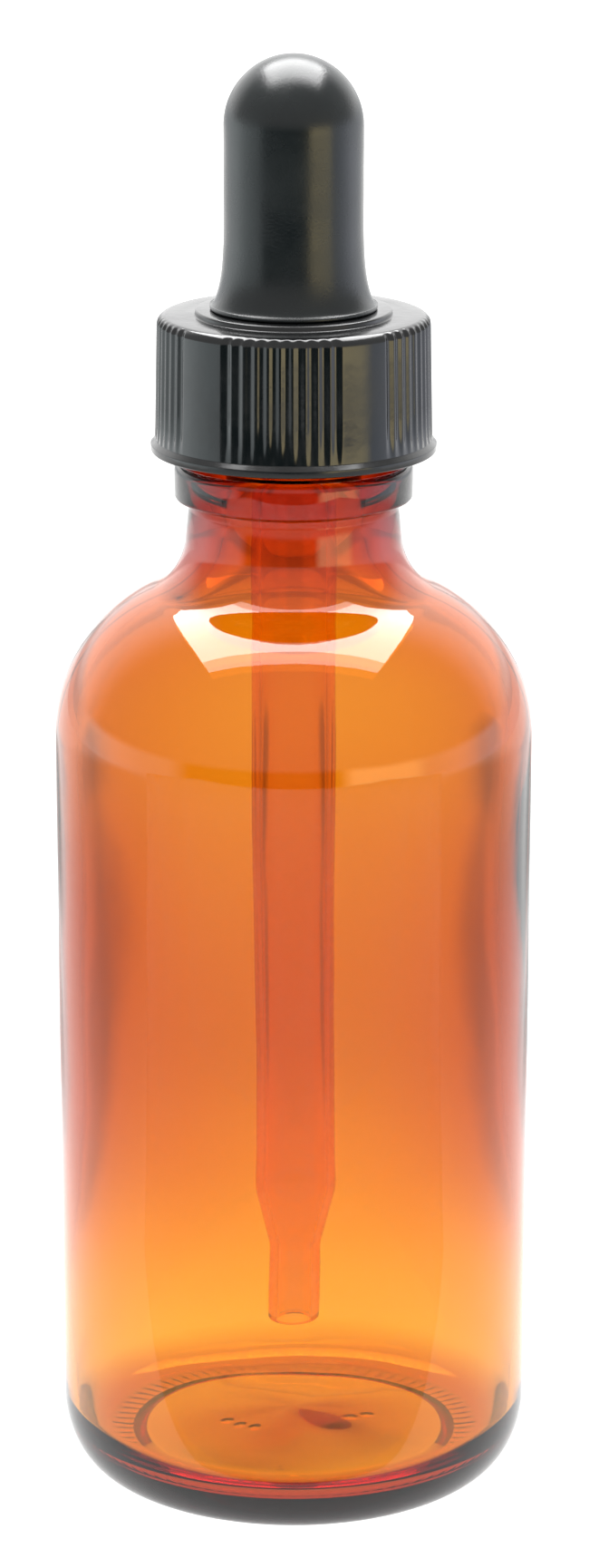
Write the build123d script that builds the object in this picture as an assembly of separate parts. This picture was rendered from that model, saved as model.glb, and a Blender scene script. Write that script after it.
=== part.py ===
from build123d import *
import math
import os

# Dropper bottle in millimetres, +Z up. The origin is the middle of the base, on the plane it stands on.
# Every section is drawn as (radius, height) and turned about the upright axis.

# Driving dimensions: a 60 ml Boston round bottle with a 20 mm screw finish
body_radius = 19.5
wall = 1.9
shoulder_z = 63.0  # where the straight wall ends
lip_z = 94.0  # top of the glass
neck_radius = 8.75  # under the thread
bore_radius = 5.4
thread_pitch = 3.175  # 8 turns to the inch
cap_top_z = 97.6
cap_bottom_z = 86.65
cap_radius = 11.15  # over the ribs, at their foot
bulb_radius = 5.65
bulb_top_z = 118.3
pipette_radius = 3.4
pipette_tip_z = 12.5
running_gap = 0.05  # between pieces that move on each other

# Bottle glass
push_up = 0.9  # hollow under the base
push_up_radius = 12.2
foot_inner_radius = 13.4
heel_width = 3.6  # the heel is a quarter of an ellipse
heel_height = 6.0
floor_z = 2.8
floor_radius = 14.0
floor_corner_height = 3.4
shoulder_radius = 13.2  # arc that leaves the straight wall
shoulder_sweep = 64.0  # degrees
neck_fillet = 5.2
groove_radius = 8.5  # undercut below the transfer bead
groove_height = 0.9
bead_radius = 9.65
bead_bottom_z = 82.65
bead_height = 3.2
bead_round = 0.7
lip_round = 0.4
bottle_crest_radius = 9.75
bottle_crest_width = 1.1
bottle_root_width = 1.95
bottle_thread_start_z = 88.0
bottle_thread_turns = 1.15

# Screw cap
cap_draft = 0.2  # the skirt is this much smaller at its top
cap_top_thickness = 1.5
cap_hole_radius = 5.0
cap_bore_radius = 9.95
cap_rim_round = 0.75
ring_radius = 7.9  # raised ring round the bulb
ring_height = 0.45
cap_lip_radius = 11.5
cap_lip_height = 0.95
cap_lip_edge_height = 0.6  # above it the lip slopes in to the skirt
cap_crest_radius = 9.2
cap_crest_width = 0.8
cap_root_width = 1.4
cap_thread_start_z = 87.8
cap_thread_turns = 1.0
thread_seat = 1.33  # the cap's ridge lies this far below the bottle's
rib_groups = 5
first_group_angle = 48.5  # degrees from +X to the middle of a group
rib_pitches_per_group = 14
grooves_per_group = 10
cutter_radius = 0.38
groove_depth = 0.2

# Rubber bulb
bulb_wall = 1.25
bulb_foot_radius = 6.7
bulb_flare_height = 6.4
bulb_grip_height = 3.0  # thick band above the foot that grips the pipette
bulb_flange_radius = 8.8
bulb_flange_height = 1.05

# Glass pipette
pipette_bore_radius = 2.65
slim_radius = 2.1
slim_bore_radius = 1.35
taper_top_z = 24.0
taper_bottom_z = 19.2
tip_round = 0.35
collar_radius = 3.9
collar_height = 1.4
collar_round = 0.35

# Sealing washer
washer_radius = 8.7
washer_chamfer = 0.15

# Heights that follow from the stack under the cap's top
cap_under_z = cap_top_z - cap_top_thickness
flange_top_z = cap_under_z - running_gap
flange_bottom_z = flange_top_z - bulb_flange_height
washer_bottom_z = lip_z + running_gap
washer_top_z = flange_bottom_z - running_gap
bulb_foot_z = cap_top_z + ring_height + running_gap
grip_top_z = bulb_foot_z + bulb_grip_height
collar_bottom_z = grip_top_z + running_gap


def turned(edges):
    """A closed section of (radius, height) edges, turned into a solid."""
    return revolve(Plane.XZ * make_face(edges), Axis.Z)


def quarter(centre, width, height, start):
    """A quarter of an ellipse, anticlockwise from the start angle."""
    return EllipticalCenterArc(centre, width, height, start_angle=start, arc_size=90)


def shoulder(arc_radius, neck, fillet, top_z):
    """The line from the straight wall over the shoulder and up the neck."""
    centre = Vector(body_radius - shoulder_radius, shoulder_z)
    arc = CenterArc(centre, arc_radius, 0, shoulder_sweep)
    slope = arc % 1
    corner = arc @ 1 + slope * ((neck - (arc @ 1).X) / slope.X)
    return [arc, FilletPolyline(arc @ 1, corner, (neck, top_z), radius=fillet)]


def thread_ridge(crest, crest_width, root, root_width, start_z, turns):
    """A helical ridge whose section is widest at its root."""
    section = Polyline(
        (root, -root_width / 2),
        (crest, -crest_width / 2),
        (crest, crest_width / 2),
        (root, root_width / 2),
        close=True,
    )
    path = Helix(thread_pitch, thread_pitch * turns, root)
    ridge = sweep(Plane.XZ * make_face(section), path=path, is_frenet=True)
    return Pos(0, 0, start_z) * ridge


def make_bottle():
    foot_radius = body_radius - heel_width
    inner_radius = body_radius - wall
    bead_top_z = bead_bottom_z + bead_height
    outer = [
        Polyline((0, push_up), (push_up_radius, push_up), (foot_inner_radius, 0), (foot_radius, 0)),
        quarter((foot_radius, heel_height), heel_width, heel_height, -90),
        Line((body_radius, heel_height), (body_radius, shoulder_z)),
        *shoulder(shoulder_radius, neck_radius, neck_fillet, bead_bottom_z - groove_height - 0.3),
        Polyline(
            (neck_radius, bead_bottom_z - groove_height - 0.3),
            (groove_radius, bead_bottom_z - groove_height),
            (groove_radius, bead_bottom_z),
        ),
        FilletPolyline(
            (groove_radius, bead_bottom_z),
            (bead_radius, bead_bottom_z),
            (bead_radius, bead_top_z),
            (neck_radius, bead_top_z),
            radius=bead_round,
        ),
        FilletPolyline(
            (neck_radius, bead_top_z),
            (neck_radius, lip_z),
            (bore_radius, lip_z),
            (bore_radius, bead_top_z),
            radius=lip_round,
        ),
    ]
    inner = [
        Line((bore_radius, bead_top_z), (bore_radius, bead_bottom_z)),
        *shoulder(shoulder_radius - wall, bore_radius, neck_fillet, bead_bottom_z),
        Line((inner_radius, shoulder_z), (inner_radius, floor_z + floor_corner_height)),
        quarter(
            (floor_radius, floor_z + floor_corner_height),
            inner_radius - floor_radius,
            floor_corner_height,
            -90,
        ),
        Polyline((floor_radius, floor_z), (0, floor_z), (0, push_up)),
    ]
    ridge = thread_ridge(
        bottle_crest_radius,
        bottle_crest_width,
        neck_radius - 0.3,
        bottle_root_width,
        bottle_thread_start_z,
        bottle_thread_turns,
    )
    return turned(outer + inner) + ridge


def rib_cutters():
    """Upright grooves in groups, with a smooth panel left between the groups."""
    pitch = 360 / rib_groups / rib_pitches_per_group
    skirt_height = cap_top_z - cap_bottom_z
    tilt = math.degrees(math.atan(cap_draft / skirt_height))
    first = first_group_angle - (grooves_per_group - 1) / 2 * pitch
    cutter = Cylinder(cutter_radius, skirt_height, align=(Align.CENTER, Align.CENTER, Align.MIN))
    distance = cap_radius - groove_depth + cutter_radius
    foot_z = cap_bottom_z + cap_lip_height
    return [
        Rot(0, 0, 360 / rib_groups * group + first + pitch * groove)
        * Pos(distance, 0, foot_z)
        * Rot(0, -tilt, 0)
        * cutter
        for group in range(rib_groups)
        for groove in range(grooves_per_group)
    ]


def make_cap():
    top_radius = cap_radius - cap_draft
    lip_top_z = cap_bottom_z + cap_lip_height
    section = [
        Line((cap_bore_radius, cap_under_z), (cap_bore_radius, cap_bottom_z)),
        FilletPolyline(
            (cap_bore_radius, cap_bottom_z),
            (cap_lip_radius, cap_bottom_z),
            (cap_lip_radius, cap_bottom_z + cap_lip_edge_height),
            (cap_radius, lip_top_z),
            radius=0.15,
        ),
        FilletPolyline(
            (cap_radius, lip_top_z),
            (top_radius, cap_top_z),
            (ring_radius, cap_top_z),
            radius=cap_rim_round,
        ),
        FilletPolyline(
            (ring_radius, cap_top_z),
            (ring_radius, cap_top_z + ring_height),
            (cap_hole_radius, cap_top_z + ring_height),
            (cap_hole_radius, cap_under_z),
            radius=0.2,
        ),
        Line((cap_hole_radius, cap_under_z), (cap_bore_radius, cap_under_z)),
    ]
    ridge = thread_ridge(
        cap_crest_radius,
        cap_crest_width,
        cap_bore_radius + 0.3,
        cap_root_width,
        cap_thread_start_z,
        cap_thread_turns,
    )
    turn = 360 * (cap_thread_start_z + thread_seat - bottle_thread_start_z) / thread_pitch
    return turned(section) - rib_cutters() + Rot(0, 0, turn) * ridge


def make_bulb():
    neck = cap_hole_radius - running_gap
    bore = pipette_radius + running_gap
    flare_top_z = bulb_foot_z + bulb_flare_height
    barrel_top_z = bulb_top_z - bulb_radius  # the dome is half a ball
    chamber_radius = bulb_radius - bulb_wall
    section = [
        Polyline(
            (bore, flange_bottom_z),
            (bulb_flange_radius, flange_bottom_z),
            (bulb_flange_radius, flange_top_z),
            (neck, flange_top_z),
            (neck, bulb_foot_z),
            (bulb_foot_radius, bulb_foot_z),
        ),
        quarter(
            (bulb_foot_radius, flare_top_z),
            bulb_foot_radius - bulb_radius,
            bulb_flare_height,
            180,
        ),
        Line((bulb_radius, flare_top_z), (bulb_radius, barrel_top_z)),
        CenterArc((0, barrel_top_z), bulb_radius, 0, 90),
        Line((0, bulb_top_z), (0, bulb_top_z - bulb_wall)),
        CenterArc((0, barrel_top_z), chamber_radius, 0, 90),
        Polyline(
            (chamber_radius, barrel_top_z),
            (chamber_radius, grip_top_z),
            (bore, grip_top_z),
            (bore, flange_bottom_z),
        ),
    ]
    return turned(section)


def make_pipette():
    collar_top_z = collar_bottom_z + collar_height
    section = [
        FilletPolyline(
            (pipette_bore_radius, taper_top_z),
            (pipette_bore_radius, collar_top_z),
            (collar_radius, collar_top_z),
            (collar_radius, collar_bottom_z),
            (pipette_radius, collar_bottom_z),
            radius=collar_round,
        ),
        FilletPolyline(
            (pipette_radius, collar_bottom_z),
            (pipette_radius, taper_top_z),
            (slim_radius, taper_bottom_z),
            (slim_radius, pipette_tip_z),
            (slim_bore_radius, pipette_tip_z),
            radius=tip_round,
        ),
        Polyline(
            (slim_bore_radius, pipette_tip_z),
            (slim_bore_radius, taper_bottom_z),
            (pipette_bore_radius, taper_top_z),
        ),
    ]
    return turned(section)


def make_washer():
    ring = Cylinder(
        washer_radius,
        washer_top_z - washer_bottom_z,
        align=(Align.CENTER, Align.CENTER, Align.MIN),
    )
    ring = chamfer(ring.edges(), washer_chamfer)
    return Pos(0, 0, washer_bottom_z) * ring - Cylinder(pipette_radius + running_gap, 4 * lip_z)


parts = {
    "bottle": make_bottle(),
    "screw_cap": make_cap(),
    "rubber_bulb": make_bulb(),
    "glass_pipette": make_pipette(),
    "sealing_washer": make_washer(),
}
os.makedirs("parts", exist_ok=True)
for name, solid in parts.items():
    export_step(solid, f"parts/{name}.step")
    print(name, round(solid.volume, 1), "mm3")
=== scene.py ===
import math

import bpy
import numpy as np
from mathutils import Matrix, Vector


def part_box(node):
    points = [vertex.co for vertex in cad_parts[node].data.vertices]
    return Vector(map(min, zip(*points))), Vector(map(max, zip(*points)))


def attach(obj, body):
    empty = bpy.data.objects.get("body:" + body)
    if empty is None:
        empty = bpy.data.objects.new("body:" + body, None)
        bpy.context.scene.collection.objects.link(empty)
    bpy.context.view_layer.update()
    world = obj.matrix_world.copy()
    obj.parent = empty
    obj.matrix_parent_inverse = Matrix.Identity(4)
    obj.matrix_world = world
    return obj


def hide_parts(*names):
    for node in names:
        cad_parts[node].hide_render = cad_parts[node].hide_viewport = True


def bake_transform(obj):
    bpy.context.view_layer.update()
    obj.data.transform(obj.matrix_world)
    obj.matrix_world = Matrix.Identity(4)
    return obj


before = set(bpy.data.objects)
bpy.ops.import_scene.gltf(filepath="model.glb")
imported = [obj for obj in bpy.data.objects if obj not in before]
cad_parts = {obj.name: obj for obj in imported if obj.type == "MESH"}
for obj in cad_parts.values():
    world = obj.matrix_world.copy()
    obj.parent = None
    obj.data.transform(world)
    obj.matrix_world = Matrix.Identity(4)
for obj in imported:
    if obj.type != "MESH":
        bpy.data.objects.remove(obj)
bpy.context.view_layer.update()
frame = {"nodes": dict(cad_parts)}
mm = 0.001
print("frame loaded:", ", ".join(frame["nodes"]))


# ---- surfaces turned about the bottle's axis

def arcPoints(centre, radii, fromDeg, toDeg, count):
    # an elliptical arc: centre plus (radius * cos, radius * sin) of evenly spaced angles
    angle = np.radians(np.linspace(fromDeg, toDeg, count))
    return np.c_[centre[0] + radii[0] * np.cos(angle), centre[1] + radii[1] * np.sin(angle)]


def roundedCorner(before, corner, after, radius, count=7):
    # the arc that touches both sides of a corner: its ends lie radius * tan(half the turn) from the corner
    before, corner, after = map(np.asarray, (before, corner, after))
    inWay = (corner - before) / np.linalg.norm(corner - before)
    outWay = (after - corner) / np.linalg.norm(after - corner)
    turn = math.acos(np.clip(inWay @ outWay, -1, 1))
    side = np.sign(inWay[0] * outWay[1] - inWay[1] * outWay[0])
    start = corner - inWay * radius * math.tan(turn / 2)
    normal = np.array([-inWay[1], inWay[0]]) * side
    swept = np.linspace(0, turn, count)[:, None]
    return start + normal * radius * (1 - np.cos(swept)) + inWay * radius * np.sin(swept)


def roundedPath(corners, radii):
    # straight runs between the corners, each inner corner rounded to its own radius
    bends = [
        roundedCorner(corners[k - 1], corners[k], corners[k + 1], radii[k - 1])
        for k in range(1, len(corners) - 1)
    ]
    return np.vstack([corners[:1], *bends, corners[-1:]])


def spread(points, step):
    # adds evenly spaced points on every run that is longer than the step
    runs = zip(points[:-1], points[1:])
    filled = [
        np.linspace(a, b, max(1, math.ceil(np.linalg.norm(b - a) / step)), endpoint=False) for a, b in runs
    ]
    return np.vstack([*filled, points[-1:]])


def smoothStep(low, high, value):
    # 0 below low, 1 above high, and 3t^2 - 2t^3 between
    t = np.clip((value - low) / (high - low), 0, 1)
    return t * t * (3 - 2 * t)


def turned(section, theta):
    # the radius and the height of each point of a section, repeated at each angle
    return np.repeat(section[:, :1], len(theta), axis=1), np.repeat(section[:, 1:], len(theta), axis=1)


def turnedPiece(name, radius, height, theta, material, closed):
    # point (i, j) is (radius cos theta, radius sin theta, height) in mm; the section runs up the outside
    # and down the inside, so faces point outwards; an open section starts and ends on the axis
    rows, columns = radius.shape
    points = np.stack([radius * np.cos(theta), radius * np.sin(theta), height], axis=-1) * mm
    index = np.arange(rows * columns).reshape(rows, columns)
    if closed:
        points = points.reshape(-1, 3)
        index = np.vstack([index, index[:1]])
        poleFaces = []
    else:
        first, last = points[:1, 0] * [0, 0, 1], points[-1:, 0] * [0, 0, 1]
        points = np.vstack([points[1:-1].reshape(-1, 3), first, last])
        index = index[1:-1] - columns
        low, high = index[0], index[-1]
        pole = np.full(columns, len(points) - 2)
        poleFaces = np.vstack([
            np.c_[pole, np.roll(low, -1), low],
            np.c_[high, np.roll(high, -1), pole + 1],
        ]).tolist()
    quads = np.stack(
        [index[:-1], np.roll(index[:-1], -1, 1), np.roll(index[1:], -1, 1), index[1:]], axis=-1
    ).reshape(-1, 4)
    mesh = bpy.data.meshes.new(name)
    mesh.from_pydata(points, [], quads.tolist() + list(poleFaces))
    mesh.polygons.foreach_set("use_smooth", np.ones(len(mesh.polygons), bool))
    mesh.materials.append(material)
    mesh.update()
    piece = bpy.data.objects.new(name, mesh)
    bpy.context.scene.collection.objects.link(piece)
    return piece


def threadHeight(theta, height, thread):
    # a ridge on a right-hand helix: 1 on the crest, 0 past its flanks, faded in and out at its two ends
    turnNow = theta / (2 * np.pi)
    nearest = np.round((height - thread["startZ"]) / thread["pitch"] - turnNow)
    along = nearest + turnNow
    offset = np.abs(height - thread["startZ"] - thread["pitch"] * along)
    ridge = 1 - smoothStep(thread["crestWidth"] / 2, thread["rootWidth"] / 2, offset)
    fade = thread["fadeTurns"]
    first, last = thread["firstTurn"], thread["firstTurn"] + thread["turns"]
    ends = smoothStep(first, first + fade, along) * (1 - smoothStep(last - fade, last, along))
    return ridge * ends


# ---- materials

def linearColour(hexText):
    # sRGB hex to linear light
    value = np.array([int(hexText[k : k + 2], 16) for k in (1, 3, 5)]) / 255
    linear = np.where(value <= 0.04045, value / 12.92, ((value + 0.055) / 1.055) ** 2.4)
    return (*linear, 1.0)


def addNode(tree, kind, settings=None, inputs=None, links=None):
    # one node with its settings, its fixed inputs and the sockets that feed it
    node = tree.nodes.new(kind)
    for key, value in (settings or {}).items():
        setattr(node, key, value)
    for key, value in (inputs or {}).items():
        node.inputs[key].default_value = value
    for key, socket in (links or {}).items():
        tree.links.new(socket, node.inputs[key])
    return node


def newMaterial(name):
    material = bpy.data.materials.new(name)
    material.use_nodes = True
    tree = material.node_tree
    tree.nodes.clear()
    output = addNode(tree, "ShaderNodeOutputMaterial")
    place = addNode(tree, "ShaderNodeTexCoord").outputs["Object"]
    return material, tree, output, place


def perMetre(grainMm):
    # a noise of scale 1 has grains about a metre across, so this gives the scale of a grain in millimetres
    return 1 / (grainMm * mm)


amberGlassLook = {
    "absorbColour": (0.911, 0.7, 0.0),  # share of red, green and blue left over, per unit of density
    "absorbDensity": 1800.0,  # per metre: two walls of 2 mm turn white light deep orange
    "ior": 1.52,
    "waveMm": 9.0,
    "waveDepth": 0.00004,
    "smearMm": 6.0,
    "roughLow": 0.0,
    "roughHigh": 0.035,
}


def makeAmberGlass(look):
    # amber container glass, blown in a mould: clear and glossy, with slow waves left by the mould's skin
    material, tree, output, place = newMaterial("amberGlass")
    waves = addNode(
        tree,
        "ShaderNodeTexNoise",
        inputs={"Scale": perMetre(look["waveMm"]), "Detail": 1.5},
        links={"Vector": place},
    )
    bump = addNode(
        tree,
        "ShaderNodeBump",
        inputs={"Strength": 1.0, "Distance": look["waveDepth"]},
        links={"Height": waves.outputs["Fac"]},
    )
    smear = addNode(
        tree,
        "ShaderNodeTexNoise",
        inputs={"Scale": perMetre(look["smearMm"]), "Detail": 4.0},
        links={"Vector": place},
    )
    rough = addNode(
        tree,
        "ShaderNodeMapRange",
        inputs={"From Min": 0.55, "From Max": 0.8, "To Min": look["roughLow"], "To Max": look["roughHigh"]},
        links={"Value": smear.outputs["Fac"]},
    )
    glass = addNode(
        tree,
        "ShaderNodeBsdfPrincipled",
        inputs={"Base Color": (1, 1, 1, 1), "IOR": look["ior"], "Transmission Weight": 1.0},
        links={"Roughness": rough.outputs["Result"], "Normal": bump.outputs["Normal"]},
    )
    absorb = addNode(
        tree,
        "ShaderNodeVolumeAbsorption",
        inputs={"Color": (*look["absorbColour"], 1), "Density": look["absorbDensity"]},
    )
    tree.links.new(glass.outputs["BSDF"], output.inputs["Surface"])
    tree.links.new(absorb.outputs["Volume"], output.inputs["Volume"])
    return material


pipetteGlassLook = {
    "absorbColour": (0.97, 0.58, 0.05),  # the same amber as the bottle, half as strong
    "absorbDensity": 800.0,
    "ior": 1.5,
    "lineMm": 0.5,
    "lineDepth": 0.000004,
}


def makePipetteGlass(look):
    # drawn glass tube, faintly tinted: smooth lengthways, with fine draw lines that only a glint shows
    material, tree, output, place = newMaterial("drawnPipetteGlass")
    stretch = addNode(tree, "ShaderNodeMapping", inputs={"Scale": (1, 1, 0.02)}, links={"Vector": place})
    lines = addNode(
        tree,
        "ShaderNodeTexNoise",
        inputs={"Scale": perMetre(look["lineMm"]), "Detail": 2.0},
        links={"Vector": stretch.outputs["Vector"]},
    )
    bump = addNode(
        tree,
        "ShaderNodeBump",
        inputs={"Strength": 1.0, "Distance": look["lineDepth"]},
        links={"Height": lines.outputs["Fac"]},
    )
    haze = addNode(
        tree,
        "ShaderNodeMapRange",
        inputs={"From Min": 0.4, "From Max": 0.8, "To Min": 0.0, "To Max": 0.03},
        links={"Value": lines.outputs["Fac"]},
    )
    glass = addNode(
        tree,
        "ShaderNodeBsdfPrincipled",
        inputs={"Base Color": (1, 1, 1, 1), "IOR": look["ior"], "Transmission Weight": 1.0},
        links={"Roughness": haze.outputs["Result"], "Normal": bump.outputs["Normal"]},
    )
    absorb = addNode(
        tree,
        "ShaderNodeVolumeAbsorption",
        inputs={"Color": (*look["absorbColour"], 1), "Density": look["absorbDensity"]},
    )
    tree.links.new(glass.outputs["BSDF"], output.inputs["Surface"])
    tree.links.new(absorb.outputs["Volume"], output.inputs["Volume"])
    return material


phenolicLook = {
    "dark": "#090a0b",
    "light": "#131415",
    "roughLow": 0.1,
    "roughHigh": 0.24,
    "cloudMm": 3.5,
    "peelMm": 0.9,
    "peelDepth": 0.00001,
}


def makePhenolic(look):
    # compression-moulded black phenolic: hard gloss with a faint orange peel and duller patches
    material, tree, output, place = newMaterial("blackPhenolic")
    cloud = addNode(
        tree,
        "ShaderNodeTexNoise",
        inputs={"Scale": perMetre(look["cloudMm"]), "Detail": 5.0},
        links={"Vector": place},
    )
    colour = addNode(
        tree,
        "ShaderNodeMix",
        settings={"data_type": "RGBA"},
        inputs={"A": linearColour(look["dark"]), "B": linearColour(look["light"])},
        links={"Factor": cloud.outputs["Fac"]},
    )
    rough = addNode(
        tree,
        "ShaderNodeMapRange",
        inputs={"From Min": 0.3, "From Max": 0.75, "To Min": look["roughLow"], "To Max": look["roughHigh"]},
        links={"Value": cloud.outputs["Fac"]},
    )
    peel = addNode(
        tree,
        "ShaderNodeTexNoise",
        inputs={"Scale": perMetre(look["peelMm"]), "Detail": 2.0},
        links={"Vector": place},
    )
    bump = addNode(
        tree,
        "ShaderNodeBump",
        inputs={"Strength": 1.0, "Distance": look["peelDepth"]},
        links={"Height": peel.outputs["Fac"]},
    )
    plastic = addNode(
        tree,
        "ShaderNodeBsdfPrincipled",
        inputs={"IOR": 1.58},
        links={
            "Base Color": colour.outputs["Result"],
            "Roughness": rough.outputs["Result"],
            "Normal": bump.outputs["Normal"],
        },
    )
    tree.links.new(plastic.outputs["BSDF"], output.inputs["Surface"])
    return material


rubberLook = {
    "dark": "#0d1112",
    "light": "#181e1f",
    "roughLow": 0.2,
    "roughHigh": 0.33,
    "bloomMm": 4.0,
    "grainMm": 0.22,
    "grainDepth": 0.00001,
}


def makeRubber(look):
    # moulded black rubber: satin, a little bloomed grey, with a fine grain
    material, tree, output, place = newMaterial("blackRubber")
    bloom = addNode(
        tree,
        "ShaderNodeTexNoise",
        inputs={"Scale": perMetre(look["bloomMm"]), "Detail": 6.0},
        links={"Vector": place},
    )
    colour = addNode(
        tree,
        "ShaderNodeMix",
        settings={"data_type": "RGBA"},
        inputs={"A": linearColour(look["dark"]), "B": linearColour(look["light"])},
        links={"Factor": bloom.outputs["Fac"]},
    )
    rough = addNode(
        tree,
        "ShaderNodeMapRange",
        inputs={"From Min": 0.3, "From Max": 0.7, "To Min": look["roughLow"], "To Max": look["roughHigh"]},
        links={"Value": bloom.outputs["Fac"]},
    )
    grain = addNode(
        tree,
        "ShaderNodeTexNoise",
        inputs={"Scale": perMetre(look["grainMm"]), "Detail": 3.0},
        links={"Vector": place},
    )
    bump = addNode(
        tree,
        "ShaderNodeBump",
        inputs={"Strength": 1.0, "Distance": look["grainDepth"]},
        links={"Height": grain.outputs["Fac"]},
    )
    rubber = addNode(
        tree,
        "ShaderNodeBsdfPrincipled",
        inputs={"IOR": 1.52},
        links={
            "Base Color": colour.outputs["Result"],
            "Roughness": rough.outputs["Result"],
            "Normal": bump.outputs["Normal"],
        },
    )
    tree.links.new(rubber.outputs["BSDF"], output.inputs["Surface"])
    return material


foamLook = {"dark": "#d6d5cf", "light": "#efeeea", "cellMm": 0.35, "cellDepth": 0.00003}


def makeFoam(look):
    # closed-cell polyethylene foam: matt off-white, with small round cells in its cut face
    material, tree, output, place = newMaterial("polyethyleneFoam")
    cells = addNode(
        tree,
        "ShaderNodeTexVoronoi",
        inputs={"Scale": perMetre(look["cellMm"])},
        links={"Vector": place},
    )
    colour = addNode(
        tree,
        "ShaderNodeMix",
        settings={"data_type": "RGBA"},
        inputs={"A": linearColour(look["dark"]), "B": linearColour(look["light"])},
        links={"Factor": cells.outputs["Distance"]},
    )
    bump = addNode(
        tree,
        "ShaderNodeBump",
        inputs={"Strength": 1.0, "Distance": look["cellDepth"]},
        links={"Height": cells.outputs["Distance"]},
    )
    foam = addNode(
        tree,
        "ShaderNodeBsdfPrincipled",
        inputs={"IOR": 1.5, "Roughness": 0.75},
        links={"Base Color": colour.outputs["Result"], "Normal": bump.outputs["Normal"]},
    )
    tree.links.new(foam.outputs["BSDF"], output.inputs["Surface"])
    return material


amberGlass = makeAmberGlass(amberGlassLook)
pipetteGlass = makePipetteGlass(pipetteGlassLook)
phenolic = makePhenolic(phenolicLook)
rubber = makeRubber(rubberLook)
foam = makeFoam(foamLook)
print("materials made")


# ---- bottle

bottleLow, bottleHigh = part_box("bottle")
bottle = {
    "radius": bottleHigh[0] / mm,
    "lipZ": bottleHigh[2] / mm,
    "shoulderZ": 63.0,
    "shoulderRadius": 13.2,
    "shoulderSweep": 64.0,  # degrees
    "neckRadius": 8.75,
    "neckFillet": 5.2,
    "neckFilletInside": 8.5,
    "boreRadius": 5.4,
    "grooveRadius": 8.5,
    "beadRadius": 9.65,
    "beadZ": 82.65,
    "beadHeight": 3.2,
    "finishZ": 86.6,  # the thread and the lip are above it
    "heelWidth": 3.6,
    "heelHeight": 6.0,
    "footInnerRadius": 13.4,
    "pushUp": 0.9,
    "floorZ": 2.8,
    "floorRadius": 14.4,
    "floorCorner": 3.4,
    "floorRise": 1.3,  # the floor swells towards its middle
    "ventMarks": ((-5.4, -0.7), (-4.3, -1.7), (-3.1, -2.3), (4.6, 0.4), (6.0, 1.1)),
    "ventRadius": 0.55,
    "ventDepth": 0.15,
    "wallShoulder": 1.65,  # blown glass runs thin over the shoulder and low down, and thick between
    "wallMiddle": 2.1,
    "wallLow": 1.05,
    "wave": 0.07,  # of the inner wall, in and out
    "columns": 240,
    "seamDegrees": (0.0, 180.0),
    "seamHeight": 0.03,
    "stippleCount": 80,
    "stippleDepth": 0.14,
}
bottleThread = {
    "pitch": 3.175,
    "startZ": 88.0,
    "firstTurn": 0.0,
    "turns": 1.15,
    "crestWidth": 1.0,
    "rootWidth": 2.2,
    "fadeTurns": 0.09,
    "height": 0.97,
}


def shoulderCurve(arcRadius, neckRadius, topZ, fillet):
    # an arc off the straight wall, then the straight slope that it ends in, rounded into the neck
    centre = (bottle["radius"] - bottle["shoulderRadius"], bottle["shoulderZ"])
    sweep = bottle["shoulderSweep"]
    arc = arcPoints(centre, (arcRadius, arcRadius), 0, sweep, 22)
    slope = np.array([-math.sin(math.radians(sweep)), math.cos(math.radians(sweep))])
    corner = arc[-1] + slope * (neckRadius - arc[-1, 0]) / slope[0]
    bend = roundedCorner(arc[-1], corner, (neckRadius, topZ), fillet, 14)
    return np.vstack([arc, bend])


def bottleOutside():
    b = bottle
    footRadius = b["radius"] - b["heelWidth"]
    beadTop = b["beadZ"] + b["beadHeight"]
    reach = np.linspace(0, b["footInnerRadius"] - 2.2, 26)
    hollow = np.c_[reach, b["pushUp"] + 0.4 * (1 - smoothStep(0, b["footInnerRadius"] - 2.2, reach))]
    base = roundedPath(
        np.array([
            (b["footInnerRadius"] - 2.2, b["pushUp"]),
            (b["footInnerRadius"] - 0.9, b["pushUp"]),
            (b["footInnerRadius"] + 0.3, 0),
            (footRadius, 0),
        ]),
        (0.6, 0.5),
    )
    heel = arcPoints((footRadius, b["heelHeight"]), (b["heelWidth"], b["heelHeight"]), -90, 0, 22)
    finish = roundedPath(
        np.array([
            (b["neckRadius"], b["beadZ"] - 1.6),
            (b["grooveRadius"], b["beadZ"] - 0.75),
            (b["grooveRadius"], b["beadZ"] + 0.05),
            (b["beadRadius"], b["beadZ"] + 0.12),
            (b["beadRadius"], beadTop),
            (b["neckRadius"], beadTop + 0.05),
            (b["neckRadius"], b["lipZ"]),
            (b["boreRadius"], b["lipZ"]),
            (b["boreRadius"], b["lipZ"] - 3),
        ]),
        (0.5, 0.35, 0.35, 0.85, 0.9, 0.4, 0.55, 0.55),
    )
    shoulder = shoulderCurve(b["shoulderRadius"], b["neckRadius"], b["beadZ"] - 1.6, b["neckFillet"])
    return np.vstack([hollow, base[1:], heel[1:], shoulder, finish[1:]])


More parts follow.
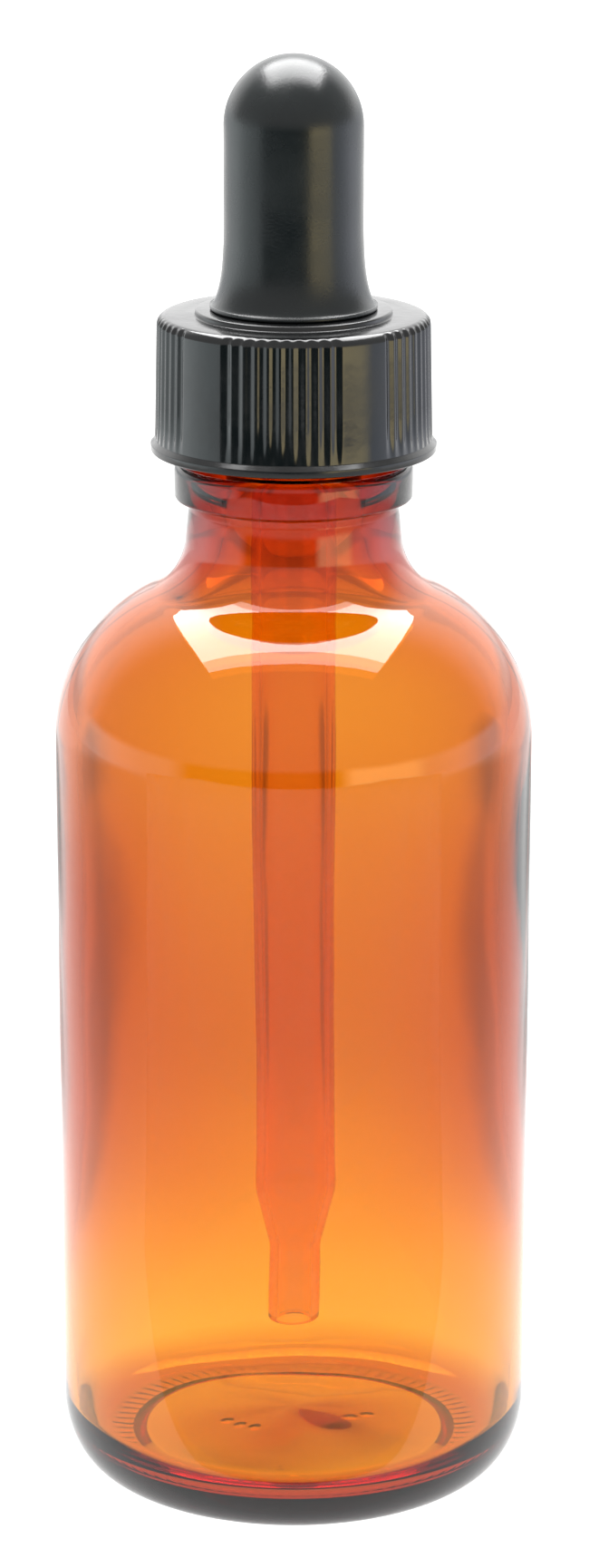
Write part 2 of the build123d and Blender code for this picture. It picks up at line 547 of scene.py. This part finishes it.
def bottleInside():
    b = bottle
    arcRadius = b["shoulderRadius"] - b["wallShoulder"]
    shoulder = shoulderCurve(arcRadius, b["boreRadius"], b["beadZ"] + 1.5, b["neckFilletInside"])
    height = np.linspace(b["shoulderZ"] - 1.5, b["floorZ"] + b["floorCorner"] + 1.5, 36)
    thickness = (
        b["wallLow"]
        + (b["wallMiddle"] - b["wallLow"]) * smoothStep(9, 34, height)
        - (b["wallMiddle"] - b["wallShoulder"]) * smoothStep(46, b["shoulderZ"], height)
    )
    corner = arcPoints(
        (b["floorRadius"], b["floorZ"] + b["floorCorner"]),
        (b["radius"] - b["wallLow"] - b["floorRadius"], b["floorCorner"]),
        0, -90, 20,
    )
    reach = np.linspace(b["floorRadius"] - 0.4, 0, 34)
    floor = np.c_[reach, b["floorZ"] + b["floorRise"] * (1 - smoothStep(0.0, 13.5, reach))]
    return np.vstack([shoulder[::-1], np.c_[b["radius"] - thickness, height], corner, floor])


def makeBottle():
    # the outer section with its thread, seams and stippled foot, then the inner one with waves in its wall
    b = bottle
    outside = spread(bottleOutside(), 1.4)
    isHollow = (outside[:, 1] < 3) & (outside[:, 0] < 8)
    isFinish = outside[:, 1] >= b["finishZ"]
    outside = np.vstack([
        spread(outside[isHollow], 0.3), outside[~isHollow & ~isFinish], spread(outside[isFinish], 0.24)
    ])
    inside = spread(bottleInside(), 1.6)
    section = np.vstack([outside, inside])
    even = np.linspace(0, 2 * np.pi, b["columns"], endpoint=False)
    seams = np.radians(b["seamDegrees"])[:, None]
    nearSeam = (seams + np.radians([-0.9, -0.5, -0.25, 0, 0.25, 0.5, 0.9])).ravel()
    theta = np.unique(np.r_[even, nearSeam])
    radius, height = turned(section, theta)
    isOutside = (np.arange(len(section)) < len(outside))[:, None]

    # thread: radius grows by the ridge on the outer wall above the bead
    onWallZ = (height > b["finishZ"]) & (height < b["lipZ"] - 0.9)
    onThread = isOutside & onWallZ & (radius > b["neckRadius"] - 0.3)
    radius += np.where(onThread, bottleThread["height"] * threadHeight(theta, height, bottleThread), 0)

    # seam: a fine ridge where the two mould halves meet, up the body and the shoulder
    away = np.abs((theta[None, :] - seams + np.pi) % (2 * np.pi) - np.pi).min(axis=0)
    seamRidge = b["seamHeight"] * np.exp(-((away / math.radians(0.35)) ** 2))
    onBody = smoothStep(2.0, 8.0, height) * (1 - smoothStep(78, 81, height))
    radius += np.where(isOutside, (seamRidge - b["seamHeight"]) * onBody, 0)

    # stipple: short dents round the foot, where the hot glass stood on its conveyor
    onFoot = isOutside & (height < 0.05) & (radius > b["footInnerRadius"])
    dents = np.clip(np.cos(theta * b["stippleCount"]), 0, 1) * np.sin(
        np.pi * np.clip((radius - b["footInnerRadius"] - 0.2) / 2.1, 0, 1)
    )
    height += np.where(onFoot, b["stippleDepth"] * dents, 0)

    # vent marks: small round dents in the hollow under the base
    inHollow = isOutside & (height < 3) & (radius < 9)
    for x, y in b["ventMarks"]:
        away = np.hypot(radius * np.cos(theta) - x, radius * np.sin(theta) - y)
        height += np.where(inHollow, b["ventDepth"] * (1 - smoothStep(0, b["ventRadius"], away)), 0)

    # wall: the inside moves in and out by a sum of three slow waves round and up the bottle
    turn = theta[None, :]
    wave = (
        np.sin(2 * turn + 0.09 * height)
        + 0.7 * np.sin(3 * turn - 0.05 * height + 1.3)
        + 0.5 * np.sin(5 * turn + 0.13 * height + 4.0)
    )
    onWall = smoothStep(9, 16, height) * (1 - smoothStep(62, 72, height))
    radius += np.where(isOutside, 0, b["wave"] * wave * onWall)
    onFloor = smoothStep(0, 6, radius) * (1 - smoothStep(10, 14, radius)) * (height < 8)
    height += np.where(isOutside, 0, 0.09 * wave * onFloor)
    return turnedPiece("bottleGlass", radius, height, theta, amberGlass, closed=False)


bottleGlass = makeBottle()
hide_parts("bottle")
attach(bottleGlass, "bottle")
print("bottle:", len(bottleGlass.data.polygons), "faces")


# ---- screw cap

capLow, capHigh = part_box("screw_cap")
cap = {
    "topZ": 97.6,
    "bottomZ": capLow[2] / mm,
    "lipRadius": capHigh[0] / mm,
    "radius": 11.15,
    "draft": 0.2,
    "boreRadius": 9.95,
    "topThickness": 1.5,
    "holeRadius": 5.0,
    "ringRadius": 7.9,
    "ringHeight": 0.45,
    "lipHeight": 0.95,
    "lipEdge": 0.6,  # above it the lip slopes in to the skirt
    "threadSpan": (92.6, 87.0),  # heights of the bore that is finely divided
    "groups": 5,
    "pitchesPerGroup": 14,
    "groovesPerGroup": 10,
    "grooveDepth": 0.2,
    "firstGroup": 48.5,  # degrees from +X to the middle of a group
    "columnsPerPitch": 10,
}
threadSeat = 1.33  # the cap's ridge lies this far below the bottle's
capThread = {
    "pitch": bottleThread["pitch"],
    "startZ": bottleThread["startZ"] - threadSeat,
    "firstTurn": (87.8 + threadSeat - bottleThread["startZ"]) / bottleThread["pitch"],
    "turns": 1.0,
    "crestWidth": 0.7,
    "rootWidth": 1.6,
    "fadeTurns": 0.05,
    "height": 0.75,
}


def makeCap():
    # a shallow cup open in the middle; the skirt's radius dips in each rib groove, and smooth panels lie
    # between the groups of ribs
    c = cap
    lipTop = c["bottomZ"] + c["lipHeight"]
    underZ = c["topZ"] - c["topThickness"]
    topRadius = c["radius"] - c["draft"]
    outside = roundedPath(
        np.array([
            (c["boreRadius"], c["bottomZ"] + 2),
            (c["boreRadius"], c["bottomZ"]),
            (c["lipRadius"], c["bottomZ"]),
            (c["lipRadius"], c["bottomZ"] + c["lipEdge"]),
            (c["radius"], lipTop),
            (topRadius, c["topZ"]),
            (c["ringRadius"], c["topZ"]),
            (c["ringRadius"] - 0.05, c["topZ"] + c["ringHeight"]),
            (c["holeRadius"], c["topZ"] + c["ringHeight"]),
            (c["holeRadius"], underZ),
            (c["boreRadius"], underZ),
            (c["boreRadius"], underZ - 1),
        ]),
        (0.15, 0.18, 0.1, 0.1, 0.75, 0.12, 0.16, 0.2, 0.2, 0.4),
    )
    bore = np.array([(c["boreRadius"], z) for z in c["threadSpan"]])
    section = np.vstack([spread(outside[1:-1], 1.8), spread(bore, 0.2)])
    columns = c["groups"] * c["pitchesPerGroup"] * c["columnsPerPitch"]
    theta = np.linspace(0, 2 * np.pi, columns, endpoint=False)
    radius, height = turned(section, theta)

    # groove: a rounded valley once in each pitch, left out where a smooth panel is
    pitches = (theta - math.radians(c["firstGroup"])) / (2 * np.pi) * c["groups"] * c["pitchesPerGroup"]
    half = c["groovesPerGroup"] / 2
    inGroup = (pitches + half) % c["pitchesPerGroup"] < c["groovesPerGroup"]
    valley = (0.5 - 0.5 * np.cos(2 * np.pi * pitches)) ** 0.8 * inGroup
    belowTop = 1 - smoothStep(c["topZ"] - 0.4, c["topZ"], height)
    onSkirt = smoothStep(lipTop + 0.1, lipTop + 0.3, height) * belowTop
    skirt = radius > topRadius - 0.8
    radius -= np.where(skirt, c["grooveDepth"] * valley * onSkirt, 0)

    # thread: the bore's radius shrinks by the ridge
    inBore = np.abs(radius - c["boreRadius"]) < 0.01
    radius -= np.where(inBore, capThread["height"] * threadHeight(theta, height, capThread), 0)
    return turnedPiece("screwCap", radius, height, theta, phenolic, closed=True)


screwCap = makeCap()
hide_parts("screw_cap")
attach(screwCap, "cap")
print("screw cap:", len(screwCap.data.polygons), "faces")


# ---- rubber bulb

bulbLow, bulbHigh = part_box("rubber_bulb")
bulb = {
    "topZ": bulbHigh[2] / mm,
    "flangeZ": bulbLow[2] / mm,
    "flangeRadius": bulbHigh[0] / mm,
    "flangeHeight": 1.05,
    "neckRadius": 4.95,
    "boreRadius": 3.45,
    "footZ": 98.1,
    "footRadius": 6.7,
    "flareHeight": 6.4,
    "radius": 5.65,
    "wall": 1.25,
    "gripHeight": 3.0,
    "columns": 144,
}


def makeBulb():
    # the section starts on the axis inside the dome, goes down the chamber and the bore, out over the flange
    # and up the outside, so it is reversed to run up the outside first
    b = bulb
    flangeTop = b["flangeZ"] + b["flangeHeight"]
    chamber = b["radius"] - b["wall"]
    baseZ = b["topZ"] - b["radius"]
    inner = arcPoints((0, baseZ), (chamber, chamber), 90, 0, 22)
    lower = roundedPath(
        np.array([
            (chamber, baseZ),
            (chamber, b["footZ"] + b["gripHeight"]),
            (b["boreRadius"], b["footZ"] + b["gripHeight"]),
            (b["boreRadius"], b["flangeZ"]),
            (b["flangeRadius"], b["flangeZ"]),
            (b["flangeRadius"], flangeTop),
            (b["neckRadius"], flangeTop),
            (b["neckRadius"], b["footZ"]),
            (b["footRadius"], b["footZ"]),
            (b["footRadius"], b["footZ"] + 0.35),
        ]),
        (0.4, 0.25, 0.2, 0.3, 0.3, 0.2, 0.2, 0.12),
    )
    flareZ = b["footZ"] + b["flareHeight"] + 0.25
    flare = arcPoints(
        (b["footRadius"], flareZ), (b["footRadius"] - b["radius"], b["flareHeight"] - 0.05), 270, 180, 26
    )[1:]
    crown = arcPoints((0, baseZ), (b["radius"], b["radius"]), 0, 90, 34)
    section = np.vstack([inner, lower[1:], flare, crown])
    section = spread(section, 0.7)
    theta = np.linspace(0, 2 * np.pi, b["columns"], endpoint=False)
    radius, height = turned(section, theta)
    # rubber is never quite round: the barrel is a little oval and its foot a little uneven
    outer = (np.arange(len(section)) > len(section) / 2)[:, None] & (height > b["footZ"])
    oval = 0.05 * (1 + np.sin(2 * theta + 0.7)) * smoothStep(b["footZ"], b["footZ"] + 3, height)
    radius -= np.where(outer & (radius > 1), oval, 0) * smoothStep(0, 4, radius)
    return turnedPiece("rubberBulb", radius, height, theta, rubber, closed=False)


rubberBulb = makeBulb()
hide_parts("rubber_bulb")
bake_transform(rubberBulb)
print("rubber bulb:", len(rubberBulb.data.polygons), "faces")


# ---- glass pipette

pipetteLow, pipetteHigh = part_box("glass_pipette")
pipette = {
    "tipZ": pipetteLow[2] / mm,
    "topZ": pipetteHigh[2] / mm,
    "collarRadius": pipetteHigh[0] / mm,
    "collarHeight": 1.4,
    "radius": 3.4,
    "boreRadius": 2.65,
    "slimRadius": 2.1,
    "slimBore": 1.35,
    "taperTop": 24.0,
    "taperBottom": 19.2,
    "columns": 96,
}


def makePipette():
    # a closed section: up the outside from the blunt tip, over the collar and down the bore
    p = pipette
    collarZ = p["topZ"] - p["collarHeight"]
    section = roundedPath(
        np.array([
            (p["slimBore"], p["tipZ"] + 2),
            (p["slimBore"], p["tipZ"]),
            (p["slimRadius"], p["tipZ"]),
            (p["slimRadius"], p["taperBottom"]),
            (p["radius"], p["taperTop"]),
            (p["radius"], collarZ),
            (p["collarRadius"], collarZ),
            (p["collarRadius"], p["topZ"]),
            (p["boreRadius"], p["topZ"]),
            (p["boreRadius"], p["taperTop"]),
            (p["slimBore"], p["taperBottom"]),
            (p["slimBore"], p["tipZ"] + 3),
        ]),
        (0.3, 0.4, 4.0, 4.0, 0.2, 0.55, 0.55, 0.3, 3.0, 3.0),
    )
    section = spread(section, 1.5)
    theta = np.linspace(0, 2 * np.pi, p["columns"], endpoint=False)
    radius, height = turned(section, theta)
    return turnedPiece("glassPipette", radius, height, theta, pipetteGlass, closed=True)


glassPipette = makePipette()
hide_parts("glass_pipette")
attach(glassPipette, "pipette")
print("pipette:", len(glassPipette.data.polygons), "faces")


# ---- sealing washer

washerLow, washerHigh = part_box("sealing_washer")
washer = {"outer": washerHigh[0] / mm, "inner": 3.45, "edge": 0.2, "columns": 128}


def makeWasher():
    # a flat ring with softened edges
    low, high = washerLow[2] / mm, washerHigh[2] / mm
    w = washer
    middle = (w["inner"] + w["outer"]) / 2
    section = roundedPath(
        np.array([
            (middle, low), (w["outer"], low), (w["outer"], high),
            (w["inner"], high), (w["inner"], low), (middle - 1, low),
        ]),
        (w["edge"],) * 4,
    )
    section = spread(section, 0.8)
    theta = np.linspace(0, 2 * np.pi, w["columns"], endpoint=False)
    radius, height = turned(section, theta)
    return turnedPiece("sealingWasher", radius, height, theta, foam, closed=True)


sealingWasher = makeWasher()
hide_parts("sealing_washer")
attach(sealingWasher, "washer")
print("washer made")


# ---- floor, light and camera

studio = {
    "cameraAway": 0.380,  # level distance from the bottle's axis
    "cameraHeight": 0.169,
    "cameraDown": 16.2,  # degrees below level
    "cameraShift": 0.0005,
    "focal": 110.9,  # mm on a 36 mm long side
    "tableX": 0.4,
    "tableFront": -0.4,
    "tableBack": 2.4,
    "tableDrop": 0.00008,  # keeps the table's face clear of the glass that stands on it
    "tableColour": "#4a4a49",
    "tableGlow": 1.28,
    "paintedLightAndShadows": (  # centre, radii and extra brightness: a painted pool of light behind the bottle, painted shadows beside it
        ((0, 0.045), (0.14, 0.065), 0.27),
        ((-0.052, 0.11), (0.021, 0.048), -0.65),
        ((0.052, 0.11), (0.021, 0.048), -0.65),
        ((-0.078, 0.185), (0.039, 0.075), -0.85),
        ((0.079, 0.185), (0.04, 0.075), -0.85),
        ((-0.23, 0.0), (0.19, 0.22), -0.75),
        ((0.23, 0.0), (0.19, 0.22), -0.75),
    ),
    "spotCore": 0.3,  # share of a patch's radius that has its full strength
    "cardZ": 0.0003,
    "cardNear": -0.0265,  # the edge of the front card next to the bottle
    "cardNarrow": 0.07,  # half of that edge's length
    "cardSideY": -0.13,
    "panelWidth": 1.02,
    "panels": ((-0.15, 0.0, 4.4), (0.0, 0.9, 11.0)),  # front, back and radiance of each
    "panelHeight": 0.9,
    "roomStrength": 3.2,
    "skyStrength": 2.3,  # above the table behind the bottle
    "ceilingStrength": 0.8,  # overhead and in front
}


def addSheet(name, corners, material):
    mesh = bpy.data.meshes.new(name)
    mesh.from_pydata(corners, [], [range(len(corners))])
    mesh.materials.append(material)
    sheet = bpy.data.objects.new(name, mesh)
    bpy.context.scene.collection.objects.link(sheet)


def makeTable():
    # a pale light table: translucent acrylic, softly lit from below, with a painted pool of light and
    # painted shadows added to its glow
    material, tree, output, place = newMaterial("lightTable")
    cloud = addNode(
        tree, "ShaderNodeTexNoise", inputs={"Scale": perMetre(40), "Detail": 3.0}, links={"Vector": place}
    )
    rough = addNode(
        tree,
        "ShaderNodeMapRange",
        inputs={"To Min": 0.75, "To Max": 0.9},
        links={"Value": cloud.outputs["Fac"]},
    )

    def spot(centre, radii, strength):
        # strength over the core, falling to nothing at the edge of an ellipse; sizes in metres
        scale = [1 / r for r in radii]
        local = addNode(
            tree,
            "ShaderNodeMapping",
            inputs={"Location": (-centre[0] * scale[0], -centre[1] * scale[1], 0), "Scale": (*scale, 0)},
            links={"Vector": place},
        )
        away = addNode(
            tree,
            "ShaderNodeVectorMath",
            settings={"operation": "LENGTH"},
            links={"Vector": local.outputs["Vector"]},
        )
        fall = addNode(
            tree,
            "ShaderNodeMapRange",
            settings={"interpolation_type": "SMOOTHSTEP"},
            inputs={"From Min": studio["spotCore"], "From Max": 1.0, "To Min": strength, "To Max": 0.0},
            links={"Value": away.outputs["Value"]},
        )
        return fall.outputs["Result"]

    glow = spot((0, 0), (4, 4), studio["tableGlow"])
    # the patches add a painted pool of light behind the bottle and painted shadows beside it to the glow
    for centre, radii, strength in studio["paintedLightAndShadows"]:
        paintedPatch = spot(centre, radii, strength)
        total = addNode(tree, "ShaderNodeMath", settings={"operation": "ADD"}, links={0: glow, 1: paintedPatch})
        glow = total.outputs["Value"]
    acrylic = addNode(
        tree,
        "ShaderNodeBsdfPrincipled",
        inputs={
            "Base Color": linearColour(studio["tableColour"]),
            "Specular IOR Level": 0.1,
            "Emission Color": (1, 1, 1, 1),
        },
        links={"Roughness": rough.outputs["Result"], "Emission Strength": glow},
    )
    tree.links.new(acrylic.outputs["BSDF"], output.inputs["Surface"])
    x, front, back = studio["tableX"], studio["tableFront"], studio["tableBack"]
    z = -studio["tableDrop"]
    addSheet("table", [(-x, front, z), (x, front, z), (x, back, z), (-x, back, z)], material)


def makeCard(name, dark, light):
    # matt card with a little fibre in it
    material, tree, output, place = newMaterial(name)
    fibre = addNode(
        tree, "ShaderNodeTexNoise", inputs={"Scale": perMetre(2), "Detail": 4.0}, links={"Vector": place}
    )
    colour = addNode(
        tree,
        "ShaderNodeMix",
        settings={"data_type": "RGBA"},
        inputs={"A": linearColour(dark), "B": linearColour(light)},
        links={"Factor": fibre.outputs["Fac"]},
    )
    card = addNode(
        tree,
        "ShaderNodeBsdfPrincipled",
        inputs={"Roughness": 0.8, "Specular IOR Level": 0.2},
        links={"Base Color": colour.outputs["Result"]},
    )
    tree.links.new(card.outputs["BSDF"], output.inputs["Surface"])
    return material


def makeFrontCard():
    # a grey card lies in front of the bottle, just out of view
    grey = makeCard("greyCard", "#909394", "#9ea1a2")
    wide, front, z = studio["tableX"], studio["tableFront"], studio["cardZ"]
    near, narrow = studio["cardNear"], studio["cardNarrow"]
    right = [(wide, front), (wide, studio["cardSideY"]), (narrow, near)]
    outline = right + [(-x, y) for x, y in reversed(right)]
    addSheet("frontCard", [(x, y, z) for x, y in outline], grey)


def makeSurroundings():
    # a room round the table, its brightness set by the compass direction: 0 and 1 are behind the bottle,
    # 0.5 is at the camera, 0.25 on its left and 0.75 on its right
    world = bpy.data.worlds.new("studioRoom")
    bpy.context.scene.world = world
    world.use_nodes = True
    tree = world.node_tree
    tree.nodes.clear()
    direction = addNode(tree, "ShaderNodeTexCoord").outputs["Generated"]
    split = addNode(tree, "ShaderNodeSeparateXYZ", links={"Vector": direction})
    towards = addNode(
        tree,
        "ShaderNodeMath",
        settings={"operation": "MULTIPLY"},
        inputs={1: -1.0},
        links={0: split.outputs["Y"]},
    )
    compass = addNode(
        tree,
        "ShaderNodeMath",
        settings={"operation": "ARCTAN2"},
        links={0: split.outputs["X"], 1: towards.outputs["Value"]},
    )
    turn = addNode(
        tree,
        "ShaderNodeMapRange",
        inputs={"From Min": -math.pi, "From Max": math.pi},
        links={"Value": compass.outputs["Value"]},
    )
    ramp = addNode(tree, "ShaderNodeValToRGB", links={"Fac": turn.outputs["Result"]})
    stops = (
        (0.0, (0.3, 0.3, 0.3)),
        (0.1, (0.34, 0.35, 0.36)),
        (0.2, (0.62, 0.67, 0.68)),
        (0.29, (0.4, 0.45, 0.46)),
        (0.33, (0.36, 0.4, 0.41)),
        (0.36, (0.014, 0.027, 0.03)),
        (0.56, (0.014, 0.027, 0.03)),
        (0.58, (1.0, 0.84, 0.48)),
        (0.665, (0.9, 0.78, 0.48)),
        (0.685, (0.28, 0.31, 0.36)),
        (0.8, (0.55, 0.57, 0.63)),
        (0.9, (0.36, 0.37, 0.38)),
        (1.0, (0.3, 0.3, 0.3)),
    )
    bands = ramp.color_ramp.elements
    for place, colour in stops[1:-1]:
        bands.new(place)
    for band, (place, colour) in zip(bands, stops):
        band.position = place
        band.color = (*colour, 1)
    low = addNode(
        tree,
        "ShaderNodeBackground",
        inputs={"Strength": studio["roomStrength"]},
        links={"Color": ramp.outputs["Color"]},
    )
    behind = addNode(
        tree,
        "ShaderNodeMapRange",
        settings={"interpolation_type": "SMOOTHSTEP"},
        inputs={
            "From Min": 0.25,
            "From Max": 0.7,
            "To Min": studio["ceilingStrength"],
            "To Max": studio["skyStrength"],
        },
        links={"Value": split.outputs["Y"]},
    )
    high = addNode(tree, "ShaderNodeBackground", links={"Strength": behind.outputs["Result"]})
    upward = addNode(
        tree,
        "ShaderNodeMapRange",
        settings={"interpolation_type": "SMOOTHSTEP"},
        inputs={"From Min": 0.0, "From Max": 0.08},
        links={"Value": split.outputs["Z"]},
    )
    shine = addNode(
        tree,
        "ShaderNodeMixShader",
        links={0: upward.outputs["Result"], 1: low.outputs["Background"], 2: high.outputs["Background"]},
    )
    output = addNode(tree, "ShaderNodeOutputWorld")
    tree.links.new(shine.outputs["Shader"], output.inputs["Surface"])


def addPanels():
    # softboxes level above the table: a gentle one over the bottle and a stronger one behind it
    for front, back, radiance in studio["panels"]:
        light = bpy.data.lights.new("overheadPanel", "AREA")
        light.shape = "RECTANGLE"
        light.size = studio["panelWidth"]
        light.size_y = back - front
        light.energy = math.pi * light.size * light.size_y * radiance
        lamp = bpy.data.objects.new("overheadPanel", light)
        lamp.location = (0, (back + front) / 2, studio["panelHeight"])
        bpy.context.scene.collection.objects.link(lamp)


def makeCamera():
    camera = bpy.data.objects.new("camera", bpy.data.cameras.new("camera"))
    camera.data.sensor_width = 36
    camera.data.lens = studio["focal"]
    camera.location = (0, -studio["cameraAway"], studio["cameraHeight"])
    camera.rotation_euler = (math.radians(90 - studio["cameraDown"]), 0, 0)
    camera.data.shift_x = studio["cameraShift"]
    camera.data.clip_start = 0.01
    bpy.context.scene.collection.objects.link(camera)
    bpy.context.scene.camera = camera


makeTable()
makeFrontCard()
makeSurroundings()
addPanels()
makeCamera()
bpy.context.scene.view_settings.view_transform = "Standard"
print("stage set")
